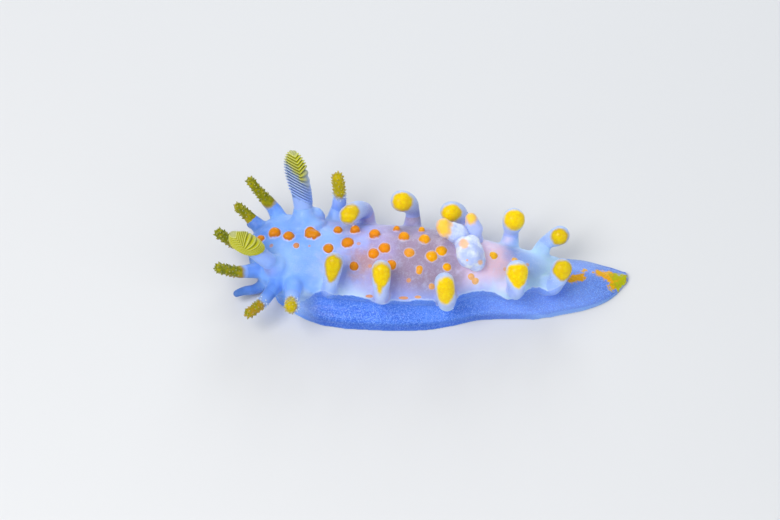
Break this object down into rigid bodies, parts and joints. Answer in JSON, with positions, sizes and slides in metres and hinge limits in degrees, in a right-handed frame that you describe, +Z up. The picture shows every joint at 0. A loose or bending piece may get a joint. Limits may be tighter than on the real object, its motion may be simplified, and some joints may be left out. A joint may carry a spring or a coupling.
{
  "type": "orange-clubbed sea slug",
  "caption": "Small crawling sea slug with yellow-tipped clubs round its mantle, orange spots on its back, ringed rhinophores and feathery gills.",
  "frame": {"origin": "on the flat sole, under the middle of the animal", "axes": "+X towards the tail, +Y towards the animal's right side, +Z up from the sole"},
  "size_m": [0.0201, 0.0082, 0.005],
  "materials": {
    "head": "wet, translucent bluish white flesh with orange spots",
    "mantle": "wet, translucent lavender white flesh with orange spots",
    "foot": "wet, translucent blue flesh with fine pale specks",
    "club": "wet, clear flesh over a yellow core",
    "rhinophore": "wet, thin leaves, yellow above and bluish below",
    "gill": "wet, translucent white with yellow tips",
    "tentacle": "wet, translucent bluish white flesh"
  },
  "bodies": {
    "root": {"head": "head", "mantle": "mantle", "foot": "foot", "tail": "foot", "rhinophore_left": "rhinophore", "rhinophore_right": "rhinophore", "oral_tentacle_left": "tentacle", "oral_tentacle_right": "tentacle", "gill_front": "gill", "gill_right": "gill", "gill_left": "gill", "veil_club_left_1": "club", "veil_club_left_2": "club", "veil_club_middle": "club", "veil_club_right_1": "club", "veil_club_right_2": "club", "club_left_1": "club", "club_left_2": "club", "club_left_3": "club", "club_left_4": "club", "club_left_5": "club", "club_left_6": "club", "club_right_1": "club", "club_right_2": "club", "club_right_3": "club", "club_right_4": "club", "club_right_5": "club", "club_right_6": "club"}
  },
  "joints": []
}
